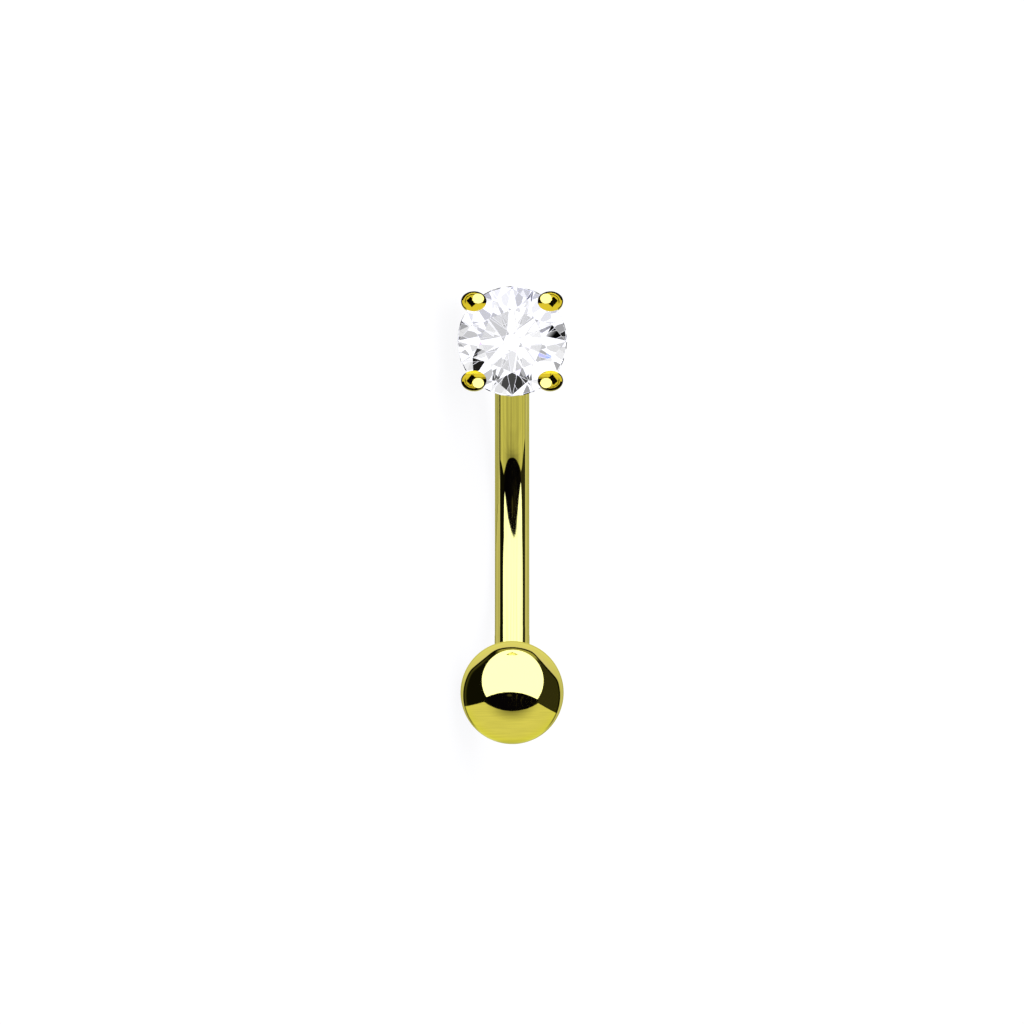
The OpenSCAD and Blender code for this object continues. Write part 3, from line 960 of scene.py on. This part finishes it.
def stone_material():
    material = bpy.data.materials.new("cubic_zirconia")
    material.use_nodes = True
    g = Graph(material.node_tree)
    shader = g.node("ShaderNodeBsdfPrincipled", {
        "Base Color": (0.975, 0.975, 0.982, 1), "Roughness": 0.0, "IOR": STONE_IOR,
        "Transmission Weight": 1.0, "Specular Tint": (0.1, 0.095, 0.08, 1)})
    g.node("ShaderNodeOutputMaterial", {"Surface": shader.outputs[0]})
    return material


def girdle_material():
    """The stone's rim is ground, not polished: pale in random patches, and near-black in the others, which
    is painted shade drawing the rim's dark broken outline.
    """
    material = bpy.data.materials.new("ground_girdle")
    material.use_nodes = True
    g = Graph(material.node_tree)
    place = g.node("ShaderNodeTexCoord").outputs["Object"]
    patches = g.node("ShaderNodeTexNoise", {"Vector": place, "Scale": 5000.0, "Detail": 3.0,
                                            "Roughness": 0.6})
    patches = g.ramp(patches.outputs[0], 0.44, 0.56)
    shader = g.node("ShaderNodeBsdfPrincipled", {
        "Base Color": g.colour_mix(patches, (0.02, 0.02, 0.022, 1), (0.9, 0.9, 0.92, 1)), "Roughness": 0.6,
        "Specular IOR Level": 0.0})
    g.node("ShaderNodeOutputMaterial", {"Surface": shader.outputs[0]})
    return material


ball_gold = gold_material("ball_gold", (0.75, 0.66, 0.094, 1), (0.765, 0.675, 0.1, 1))
bar_gold = gold_material("bar_gold", (0.47, 0.42, 0.068, 1), (0.66, 0.59, 0.097, 1), drawn=True)
head_gold = gold_material("head_gold", (0.62, 0.55, 0.075, 1), (0.72, 0.63, 0.085, 1))
tip_gold = gold_material("tip_gold", (0.85, 0.65, 0.03, 1), (0.9, 0.69, 0.04, 1))
# A darker copy of the tip's gold for the spots that mirror the window: painted shade that tones that
# highlight down
dimmed_highlight_gold = gold_material("dimmed_highlight_gold", (0.66, 0.56, 0.07, 1), (0.7, 0.58, 0.08, 1))
crystal = stone_material()

add_piece(ball_mesh(), "screw_ball", "ball", "gold_metal", "ball", ball_gold)
bar, bar_normals = bar_mesh()
add_piece(bar, "curved_bar", "bar", "gold_metal", "bar_with_setting", bar_gold, normals=bar_normals)
for mesh, name in ((heel_mesh(), "heel"), (gallery_mesh(), "basket")):
    face_outward(mesh)
    add_piece(mesh, name, "bar", "gold_metal", "bar_with_setting", head_gold, normals=flat_normals(mesh))
for level, row in ((1, "top"), (-1, "bottom")):
    for side, hand in ((-1, "left"), (1, "right")):
        prong, prong_normals = prong_mesh(side, level)
        tip = add_piece(prong, f"prong_{row}_{hand}", "bar", "gold_metal", "bar_with_setting", tip_gold,
                        normals=prong_normals)
        tip.data.materials.append(dimmed_highlight_gold)
        tip.data.materials.append(head_gold)
brilliant = add_piece(stone_mesh(), "brilliant", "bar", "clear_stone", "stone", crystal, sharp=1)
brilliant.data.materials.append(girdle_material())


# Floor, lights and camera


def build_floor():
    size = 2.0
    mesh = bpy.data.meshes.new("floor")
    corners = [(-size, -size, 0), (size, -size, 0), (size, size, 0), (-size, size, 0)]
    mesh.from_pydata(corners, [], [(0, 1, 2, 3)])
    floor = bpy.data.objects.new("floor", mesh)
    bpy.context.scene.collection.objects.link(floor)
    material = bpy.data.materials.new("pale_floor")
    material.use_nodes = True
    g = Graph(material.node_tree)
    shader = g.node("ShaderNodeBsdfDiffuse", {"Color": (0.85, 0.85, 0.86, 1)})
    g.node("ShaderNodeOutputMaterial", {"Surface": shader.outputs[0]})
    mesh.materials.append(material)
    floor.visible_glossy = False
    floor.visible_transmission = False


def build_light():
    data = bpy.data.lights.new("overhead", "AREA")
    data.shape = "DISK"
    data.size = 0.2
    data.energy = 0.03
    lamp = bpy.data.objects.new("overhead", data)
    lamp.location = (-0.06, -0.02, 0.12)
    lamp.rotation_euler = (Vector((0, 0, 0)) - lamp.location).to_track_quat("-Z", "Y").to_euler()
    lamp.visible_glossy = False
    lamp.visible_transmission = False
    lamp.visible_camera = False
    bpy.context.scene.collection.objects.link(lamp)


# The photograph's frame: millimetres to a pixel and the upright height of its middle
MM_PER_PIXEL = 0.02907
FRAME_PIXELS = 1024
FRAME_MIDDLE = Vector((-0.003, 0.5, 5.241))
CAMERA_AWAY = 350.0


def build_camera():
    data = bpy.data.cameras.new("camera")
    data.sensor_width = 36
    data.lens = data.sensor_width * CAMERA_AWAY / (MM_PER_PIXEL * FRAME_PIXELS)
    data.clip_start = 0.01
    data.clip_end = 10
    camera = bpy.data.objects.new("camera", data)
    eye = LIE @ (FRAME_MIDDLE - Vector((0, CAMERA_AWAY, 0)))
    camera.matrix_world = Matrix.Translation(eye) @ Matrix((RIGHT, UP, FACING)).transposed().to_4x4()
    bpy.context.scene.collection.objects.link(camera)
    bpy.context.scene.camera = camera


build_world()
build_floor()
build_light()
build_camera()
bpy.context.scene.view_settings.view_transform = "Standard"
